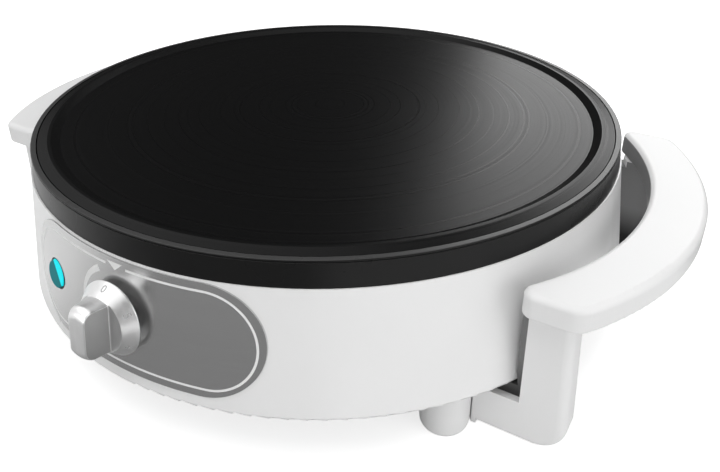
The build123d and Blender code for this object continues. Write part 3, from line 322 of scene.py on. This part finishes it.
def nonstick_coating():
    """Black coating on turned metal: fine specks, and faint turning rings round the plate's axis."""
    material = new_material("nonstick_coating", COATING_BLACK, roughness=0.4, Specular_IOR_Level=0.12)
    tree = material.node_tree
    space = object_space(tree, location=(0, -AXIS_Y, 0))
    specks = noise(tree, space, COATING_SPECKS, detail=3.0, roughness=0.7)
    flat = vector_maths(tree, "MULTIPLY", "Vector", space, WITHOUT_HEIGHT)
    ring_inputs = {"W": vector_maths(tree, "LENGTH", "Value", flat), "Scale": COATING_RINGS, "Detail": 3.0}
    rings = add_node(tree, "ShaderNodeTexNoise", "Fac", ring_inputs, noise_dimensions="1D")
    grain = bump(tree, specks, COATING_SPECK_DEPTH, COATING_BUMP)
    feed_shader(
        tree,
        Base_Color=colour_range(tree, specks, COATING_SPECK_SPAN, COATING_BLACK, COATING_SPECK),
        Roughness=map_range(tree, rings, NOISE_SPAN, *COATING_RING_ROUGHNESS),
        Normal=bump(tree, rings, COATING_RING_DEPTH, COATING_BUMP, under=grain),
    )
    return material


def lamp_lens():
    """Tinted lens with fine prisms: painted shade on the low side of its crease, painted light on the high
    side, and a painted glow that is stronger on the high side.
    """
    material = new_material("lamp_lens", LENS_TEAL, roughness=0.3, Specular_IOR_Level=0.04)
    tree = material.node_tree
    space = object_space(tree)
    right = Vector((math.cos(LAMP_ANGLE), math.sin(LAMP_ANGLE), 0))
    across = right * math.cos(LENS_TURN) + Vector((0, 0, 1)) * math.sin(LENS_TURN)
    crease = LENS_MIDDLE.dot(across) + LENS_CREASE_OFFSET
    side = vector_maths(tree, "DOT_PRODUCT", "Value", space, across)
    shade = map_range(tree, side, (crease - LENS_BLEND, crease + LENS_BLEND), 0.0, 1.0)
    glow = maths(tree, "MULTIPLY_ADD", shade, LENS_GLOW_LIT_HALF - LENS_GLOW_SHADED_HALF, LENS_GLOW_SHADED_HALF)
    rib_inputs = {"Vector": space, "Scale": LENS_RIBS}
    ribs = add_node(tree, "ShaderNodeTexWave", "Fac", rib_inputs, wave_type="BANDS", bands_direction="Z")
    feed_shader(
        tree,
        Base_Color=colour_range(tree, shade, FULL_SPAN, LENS_SHADED_HALF, LENS_LIT_HALF),
        Emission_Color=LENS_GLOW_COLOUR,
        Emission_Strength=glow,
        Normal=bump(tree, ribs, LENS_RIB_DEPTH, LENS_RIB_BUMP),
    )
    return material


def case_plastic(name, specular=0.5):
    """The white plastic of feet, legs and grips."""
    return moulded_plastic(
        name, WHITE, roughness=0.38, grain=PEEL_MEDIUM, depth=0.025 * MM, specular=specular
    )


def distance_from(tree, axis, location=(0, 0, 0)):
    """Distance along one axis from a place, on either side of it."""
    return maths(tree, "ABSOLUTE", coordinate(tree, object_space(tree, location), axis))


def leg_plastic():
    """White leg cover with painted shade, grey, on the side where the channel is open."""
    material = case_plastic("leg_white")
    tree = material.node_tree
    side = distance_from(tree, "Y", (0, -AXIS_Y, 0))
    edge = LEG_BACK_Y + MASK_EDGE
    recolour(tree, map_range(tree, side, (edge, edge + MASK_EDGE), 1.0, 0.0), SHADE_GREY)
    return material


def grip_plastic():
    """White grip with painted shade, grey, on its face towards the housing."""
    material = case_plastic("grip_white", specular=0.25)
    tree = material.node_tree
    across = maths(tree, "SUBTRACT", distance_from(tree, "X"), GRIP_ARC_X)
    along = distance_from(tree, "Y", (0, -AXIS_Y, 0))
    flat = add_node(tree, "ShaderNodeCombineXYZ", "Vector", {"X": across, "Y": along})
    reach = vector_maths(tree, "LENGTH", "Value", flat)
    edge = GRIP_INNER_RADIUS + GRIP_SHADE_REACH
    recolour(tree, map_range(tree, reach, (edge, edge + GRIP_SHADE_REACH), 1.0, 0.0), SHADE_GREY)
    return material


def collar_plastic():
    """Black collar whose flat ledge gets a painted sheen, a little paler than its skirt."""
    material = moulded_plastic(
        "collar_black", COLLAR_BLACK, roughness=0.28, depth=0.012 * MM, specular=0.19
    )
    tree = material.node_tree
    facing = add_node(tree, "ShaderNodeNewGeometry", "Normal")
    upward = map_range(tree, coordinate(tree, facing, "Z"), LEDGE_FACING, 0.0, 1.0)
    feed_shader(tree, Base_Color=colour_range(tree, upward, FULL_SPAN, COLLAR_BLACK, COLLAR_LEDGE_SHEEN))
    return material


def knob_finish():
    """Satin metal with painted shade on the bar's flanks, and diffuse white in place of metal on the side
    that faces the panel, as painted light in the panel's reflection.
    """
    material = brushed_metal(
        "knob_metal", KNOB_METAL, roughness=0.36, stretch=(500, 500, 60), contrast=0.04, depth=0.0
    )
    tree = material.node_tree
    facing = add_node(tree, "ShaderNodeTexCoord", "Normal")
    outward = vector_maths(tree, "DOT_PRODUCT", "Value", facing, DIAL_OUT)
    sideways = maths(tree, "ABSOLUTE", coordinate(tree, facing, "X"))
    feed_shader(tree, Metallic=map_range(tree, outward, KNOB_BACK_FACING, 0.0, 1.0))
    recolour(tree, map_range(tree, sideways, KNOB_FLANK_FACING, 0.0, 1.0), KNOB_FLANK_SHADE)
    return material


def core_plastic():
    """Grey leg core, with painted shade that makes it darker below the housing."""
    material = moulded_plastic("core_grey", SHADE_GREY, roughness=0.5)
    tree = material.node_tree
    height = map_range(tree, distance_from(tree, "Z"), CORE_SHADE_SPAN, 0.0, 1.0)
    feed_shader(tree, Base_Color=colour_range(tree, height, FULL_SPAN, SHADE_BLACK, SHADE_GREY))
    return material


housing_white = moulded_plastic("housing_white", WHITE, roughness=0.3, coat=0.25)
foot_white = case_plastic("foot_white")
leg_white = leg_plastic()
grip_white = grip_plastic()
collar_black = collar_plastic()
base_black = moulded_plastic(
    "base_black", BASE_BLACK, roughness=0.55, grain=PEEL_COARSE, depth=0.06 * MM
)
core_grey = core_plastic()
switch_black = moulded_plastic("switch_black", SWITCH_BLACK, roughness=0.45)
ceramic = moulded_plastic("ceramic", CERAMIC_CREAM, roughness=0.6)
wire_brown = moulded_plastic("wire_brown", WIRE_BROWN, roughness=0.5)
wire_blue = moulded_plastic("wire_blue", WIRE_BLUE, roughness=0.5)
ink_white = moulded_plastic("ink_white", INK_WHITE, roughness=0.5)
ink_grey = moulded_plastic("ink_grey", INK_GREY, roughness=0.5)
panel_metal = brushed_metal(
    "panel_metal", PANEL_METAL, roughness=0.23, stretch=(30, 30, 4200), contrast=0.09, depth=0.002 * MM
)
knob_metal = knob_finish()
steel = brushed_metal("steel", STEEL, roughness=0.35, stretch=EVEN_GRAIN)
brass = brushed_metal("brass", BRASS, roughness=0.35, stretch=EVEN_GRAIN)
sheet_metal = brushed_metal("sheet_metal", SHEET_METAL, roughness=0.3, stretch=(40, 900, 900))
heater_steel = brushed_metal("heater_steel", HEATER_STEEL, roughness=0.5, stretch=(400, 400, 400))
lamp_glass = new_material("lamp_glass", NEON_GLASS, roughness=0.05, Transmission_Weight=0.8)
coating = nonstick_coating()
lens = lamp_lens()

NODE_MATERIALS = {
    "hot_plate": coating,
    "plate_collar": collar_black,
    "housing_shell": housing_white,
    "base_cover": base_black,
    "control_panel": panel_metal,
    "dial_knob": knob_metal,
    "indicator_lens": lens,
    "lamp_bezel": base_black,
    "neon_lamp": lamp_glass,
    "thermostat_bush": brass,
    "thermostat_nut": brass,
    "thermostat_body": switch_black,
    "bimetal_sensor": brass,
    "contact_pin": ceramic,
    "heating_element": heater_steel,
    "element_terminals": ceramic,
    "heat_reflector": sheet_metal,
    "thermal_fuse": ceramic,
    "terminal_block": ceramic,
    "terminal_screws": brass,
    "live_wire": wire_brown,
    "lamp_wire": wire_brown,
    "neutral_wire": wire_blue,
    "cord_gland": base_black,
    "gland_nut": base_black,
    "right_grip": grip_white,
    "left_grip": grip_white,
}


def material_for(name):
    """The material of a CAD node: its own, or by its kind."""
    if name in NODE_MATERIALS:
        return NODE_MATERIALS[name]
    if name.endswith("_leg_core"):
        return core_grey
    if name.endswith("_leg"):
        return leg_white
    if name.endswith("_foot"):
        return foot_white
    return steel


for name, shape in NODES.items():
    shape.data.materials.clear()
    shape.data.materials.append(material_for(name))


# ------------------------------------------------------------------ pieces made here
def add_object(name, data):
    """A new object in the scene."""
    made = bpy.data.objects.new(name, data)
    bpy.context.collection.objects.link(made)
    return made


def add_piece(name, mesh, material, body="base"):
    """A new piece from a mesh, with its material, on its body."""
    made = add_object(name, mesh)
    made.data.materials.clear()
    made.data.materials.append(material)
    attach(made, body)
    return made


def mesh_from(name, verts, faces):
    """A mesh with its normals turned outward."""
    mesh = bpy.data.meshes.new(name)
    mesh.from_pydata(verts, [], faces)
    shell = bmesh.new()
    shell.from_mesh(mesh)
    bmesh.ops.recalc_face_normals(shell, faces=shell.faces)
    shell.to_mesh(mesh)
    shell.free()
    return mesh


# ------------------------------------------------------------------ print on the panel
INK_LIFT = 0.03 * MM
INK_ROOT = 0.1 * MM
BORDER_INSET = 3.5 * MM
BORDER_WIDTH = 1.0 * MM
BORDER_GAP_LEFT = -5.1 * MM
BORDER_GAP_RIGHT = 5.9 * MM
BORDER_STEPS = 40
MARKER_TOP = 22.9 * MM
MARKER_TIP = 19.6 * MM
MARKER_HALF = 4.1 * MM
MARKER_TIP_HALF = 0.02 * MM
MARKER_STEPS = 6
MARKER_CELLS = 8
WEDGE_OUTER = 21.4 * MM
WEDGE_WIDTH = 2.9 * MM
WEDGE_THIN = 0.5 * MM
WEDGE_START = math.radians(-29.0)
WEDGE_END = math.radians(-125.0)
WEDGE_STEPS = 32
DIAL_HEIGHT = DIAL_FOOT.z - PANEL_Z


def between(start, end, share):
    """The value at a share of the way from start to end."""
    return start + (end - start) * share


def panel_point(arc, height, lift):
    """Point on the panel: arc along it from the front, height above its middle, lift off its face."""
    z = PANEL_Z + height
    radius = wall_radius(z) + PANEL_THICKNESS + lift
    turn = arc / PANEL_FACE
    return (radius * math.sin(turn), AXIS_Y - radius * math.cos(turn), z)


def ink_strip(name, sides, cells=1):
    """A thin closed strip of ink on the panel between pairs of (arc, height) edge points."""
    shares = [i / cells for i in range(cells + 1)]
    loop = [(share, -INK_ROOT) for share in shares] + [(share, INK_LIFT) for share in reversed(shares)]
    count = len(loop)
    verts = []
    for first, second in sides:
        for share, lift in loop:
            arc = between(first[0], second[0], share)
            height = between(first[1], second[1], share)
            verts.append(panel_point(arc, height, lift))
    faces = []
    for i in range(len(sides) - 1):
        for j in range(count):
            k = (j + 1) % count
            faces.append((count * i + j, count * i + k, count * (i + 1) + k, count * (i + 1) + j))
    for start in (0, count * (len(sides) - 1)):
        for j in range(cells):
            faces.append((start + j, start + j + 1, start + count - 2 - j, start + count - 1 - j))
    return add_piece(name, mesh_from(name, verts, faces), ink_white)


def straight_run(start, end, height, steps):
    """A straight side of the border: arc, height and outward direction at each point."""
    up = math.copysign(1.0, height)
    return [(between(start, end, i / steps), height, 0.0, up) for i in range(steps + 1)]


def round_end(centre, radius, first_turn):
    """A half circle at an end of the border: arc, height and outward direction at each point."""
    points = []
    for i in range(BORDER_STEPS + 1):
        turn = first_turn + math.pi * i / BORDER_STEPS
        across, up = math.sin(turn), math.cos(turn)
        points.append((centre + radius * across, radius * up, across, up))
    return points


def border_line():
    """White line round the panel, a stadium that is open above the dial for the marker."""
    radius = PANEL_HEIGHT / 2 - BORDER_INSET
    straight = PANEL_LENGTH / 2 - PANEL_HEIGHT / 2
    middle = straight_run(BORDER_GAP_RIGHT, straight, radius, BORDER_STEPS)[:-1]
    middle += round_end(straight, radius, 0.0)
    middle += straight_run(straight, -straight, -radius, 2 * BORDER_STEPS)[1:-1]
    middle += round_end(-straight, radius, math.pi)
    middle += straight_run(-straight, BORDER_GAP_LEFT, radius, BORDER_STEPS)[1:]
    half = BORDER_WIDTH / 2
    sides = []
    for arc, height, across, up in middle:
        inner = (arc - across * half, height - up * half)
        outer = (arc + across * half, height + up * half)
        sides.append((inner, outer))
    return ink_strip("panel_border", sides)


def marker():
    """White triangle above the dial, pointing down at it."""
    sides = []
    for i in range(MARKER_STEPS + 1):
        share = i / MARKER_STEPS
        half = MARKER_HALF * (1 - share) + MARKER_TIP_HALF
        height = between(MARKER_TOP, MARKER_TIP, share)
        sides.append(((-half, height), (half, height)))
    return ink_strip("panel_marker", sides, MARKER_CELLS)


def wedge():
    """White arc round the dial's left side, which thins out as it goes down."""
    sides = []
    for i in range(WEDGE_STEPS + 1):
        share = i / WEDGE_STEPS
        turn = between(WEDGE_START, WEDGE_END, share)
        reaches = (WEDGE_OUTER - between(WEDGE_WIDTH, WEDGE_THIN, share), WEDGE_OUTER)
        sides.append([(reach * math.sin(turn), DIAL_HEIGHT + reach * math.cos(turn)) for reach in reaches])
    return ink_strip("panel_wedge", sides)


# ------------------------------------------------------------------ print on the dial
NUMERAL_HEIGHT = 3.1 * MM
NUMERAL_STEP = math.radians(-60.0)
NUMERAL_COUNT = 6
FONT_HEIGHT_SHARE = 0.7
LETTER_DEPTH = 0.5


def dial_frame():
    """Matrix of the dial's frame: X right, Y up, Z out of the panel."""
    right = Vector((1, 0, 0))
    up = DIAL_OUT.cross(right)
    turn = Matrix((right, up, DIAL_OUT)).transposed().to_4x4()
    return Matrix.Translation(DIAL_FOOT) @ turn


def digit_mesh(digit):
    """Mesh of a flat digit of the right height, with a front and a back."""
    curve = bpy.data.curves.new("digit", "FONT")
    curve.body = str(digit)
    curve.align_x = "CENTER"
    curve.size = NUMERAL_HEIGHT / FONT_HEIGHT_SHARE
    curve.extrude = LETTER_DEPTH
    holder = add_object("digit", curve)
    mesh = bpy.data.meshes.new_from_object(holder)
    bpy.data.objects.remove(holder)
    bpy.data.curves.remove(curve)
    return mesh


def numeral(digit):
    """A digit laid on the knob's conical skirt, its top towards the panel."""
    middle_radius = (KNOB_SKIRT_RADIUS + KNOB_FACE_RADIUS) / 2
    rise = KNOB_SKIRT_RADIUS - KNOB_FACE_RADIUS
    slant = math.hypot(rise, KNOB_SKIRT_DEPTH)
    along = (rise / slant, -KNOB_SKIRT_DEPTH / slant)
    out = (KNOB_SKIRT_DEPTH / slant, rise / slant)
    place = dial_frame()
    mesh = digit_mesh(digit)
    for vertex in mesh.vertices:
        across, up, depth = vertex.co
        up -= NUMERAL_HEIGHT / 2
        lift = INK_LIFT if depth > 0 else -INK_ROOT
        radius = middle_radius + along[0] * up + out[0] * lift
        level = KNOB_GAP + KNOB_SKIRT_DEPTH / 2 + along[1] * up + out[1] * lift
        turn = digit * NUMERAL_STEP + across / middle_radius
        vertex.co = place @ Vector((radius * math.sin(turn), radius * math.cos(turn), level))
    return add_piece("dial_numeral_" + str(digit), mesh, ink_grey, "dial")


border_line()
marker()
wedge()
for digit in range(NUMERAL_COUNT):
    numeral(digit)


# ------------------------------------------------------------------ studio
FLOOR_SIZE = 8.0
FLOOR_COLOUR = 0.74
FLOOR_ROUGHNESS = 0.9
FLOOR_GLOW = 0.68
FLOOR_LEFT = 1.0
FLOOR_RIGHT = 0.26
FLOOR_EDGE = 0.74
AMBIENT = 0.48
WORLD_LEFT = 0.8
WORLD_RIGHT = 0.12
WORLD_EDGE = 0.15
ACROSS_SPAN = (-0.8, -0.2)
EDGE_SPAN = (0.45, 0.6)
BACK_SPAN = (0.2, 0.5)
BACK_SHARE = 0.05
LIGHT_WHITE = (1, 1, 1, 1)
LAMP_TARGET = Vector((0, 0, 0.05))


def studio_gradient(tree, place, left, right, edge):
    """What mirrors show: light on the left, grey in front, lighter by edge on the right, a dim back."""
    direction = vector_maths(tree, "NORMALIZE", "Vector", place)
    x = coordinate(tree, direction, "X")
    y = coordinate(tree, direction, "Y")
    across = map_range(tree, x, ACROSS_SPAN, left, right, "SMOOTHSTEP")
    lift = map_range(tree, x, EDGE_SPAN, 0.0, edge, "SMOOTHSTEP")
    back = map_range(tree, y, BACK_SPAN, 1.0, BACK_SHARE, "SMOOTHSTEP")
    return maths(tree, "MULTIPLY", maths(tree, "ADD", across, lift), back)


def ray_is(tree, kind):
    """1 for rays of that kind, such as Camera or Glossy, and 0 for others."""
    return add_node(tree, "ShaderNodeLightPath", "Is " + kind + " Ray")


def floor_material():
    """Pale floor; what the camera sees is lifted to white, and mirrors see the studio's gradient."""
    material = new_material("floor", (FLOOR_COLOUR,) * 3, FLOOR_ROUGHNESS)
    tree = material.node_tree
    place = add_node(tree, "ShaderNodeTexCoord", "Object")
    shade = studio_gradient(tree, place, FLOOR_LEFT, FLOOR_RIGHT, FLOOR_EDGE)
    feed_shader(
        tree,
        Base_Color=mix_values(tree, ray_is(tree, "Glossy"), FLOOR_COLOUR, shade),
        Emission_Color=LIGHT_WHITE,
        Emission_Strength=maths(tree, "MULTIPLY", ray_is(tree, "Camera"), FLOOR_GLOW),
    )
    return material


def floor():
    """Square floor under the object."""
    half = FLOOR_SIZE / 2
    corners = [(-half, -half, 0), (half, -half, 0), (half, half, 0), (-half, half, 0)]
    mesh = bpy.data.meshes.new("floor")
    mesh.from_pydata(corners, [], [(0, 1, 2, 3)])
    made = add_object("floor", mesh)
    made.data.materials.append(floor_material())


def world():
    """White to the camera and through glass, a studio in mirrors, a soft even light to the rest."""
    made = bpy.data.worlds.new("studio")
    bpy.context.scene.world = made
    made.use_nodes = True
    tree = made.node_tree
    background = tree.nodes["Background"]
    place = add_node(tree, "ShaderNodeTexCoord", "Generated")
    shade = studio_gradient(tree, place, WORLD_LEFT, WORLD_RIGHT, WORLD_EDGE)
    unseen = mix_values(tree, ray_is(tree, "Glossy"), AMBIENT, shade)
    seen = maths(tree, "MAXIMUM", ray_is(tree, "Camera"), ray_is(tree, "Transmission"))
    feed(tree, background.inputs["Color"], LIGHT_WHITE)
    feed(tree, background.inputs["Strength"], mix_values(tree, seen, unseen, 1.0))


def softbox(name, place, size, power, diffuse=True, glossy=True):
    """Area lamp that faces the object; without diffuse only mirrors show it, without glossy none do."""
    lamp = bpy.data.lights.new(name, "AREA")
    lamp.shape = "RECTANGLE"
    lamp.size, lamp.size_y = size
    lamp.energy = power
    made = add_object(name, lamp)
    made.location = place
    made.visible_diffuse = diffuse
    made.visible_glossy = glossy
    made.rotation_euler = (LAMP_TARGET - Vector(place)).to_track_quat("-Z", "Y").to_euler()


floor()
world()
softbox("top_light", place=(0.1, -0.2, 1.3), size=(1.2, 1.2), power=9.3, glossy=False)
softbox("right_light", place=(1.3, -0.2, 0.5), size=(0.8, 0.8), power=3.4)
softbox("front_light", place=(0.5, -1.3, 0.6), size=(1.2, 0.8), power=3.0, glossy=False)
softbox("knob_light", place=(-0.35, -0.25, 1.3), size=(2.0, 1.4), power=9.8, diffuse=False)
softbox("rim_light", place=(0.0, 1.3, 0.8), size=(0.9, 0.8), power=9.0, diffuse=False)
softbox("back_light", place=(-0.9, 1.3, 0.6), size=(1.0, 0.8), power=2.6, glossy=False)
softbox("front_glow", place=(-0.25, -1.3, 0.5), size=(1.3, 0.6), power=6.0, diffuse=False)

# ------------------------------------------------------------------ camera
PHOTO_WIDTH = 720
CAMERA_PLACE = Vector((195.4, -293.8, 237.8)) * MM + Vector((0, AXIS_Y, 0))
CAMERA_AZIMUTH = math.radians(30.914)
CAMERA_PITCH = math.radians(28.034)
CAMERA_LENS = 35.18
CAMERA_SENSOR = 36.0
CAMERA_SHIFT_X = -1.2 / PHOTO_WIDTH
CAMERA_SHIFT_Y = -58 / PHOTO_WIDTH
CAMERA_NEAR = 10.0 * MM


def camera():
    """The photograph's viewpoint."""
    made = add_object("camera", bpy.data.cameras.new("camera"))
    made.data.sensor_width = CAMERA_SENSOR
    made.data.lens = CAMERA_LENS
    made.data.shift_x = CAMERA_SHIFT_X
    made.data.shift_y = CAMERA_SHIFT_Y
    made.data.clip_start = CAMERA_NEAR
    made.location = CAMERA_PLACE
    made.rotation_euler = (math.pi / 2 - CAMERA_PITCH, 0, CAMERA_AZIMUTH)
    bpy.context.scene.camera = made


camera()
bpy.context.scene.view_settings.view_transform = "Standard"
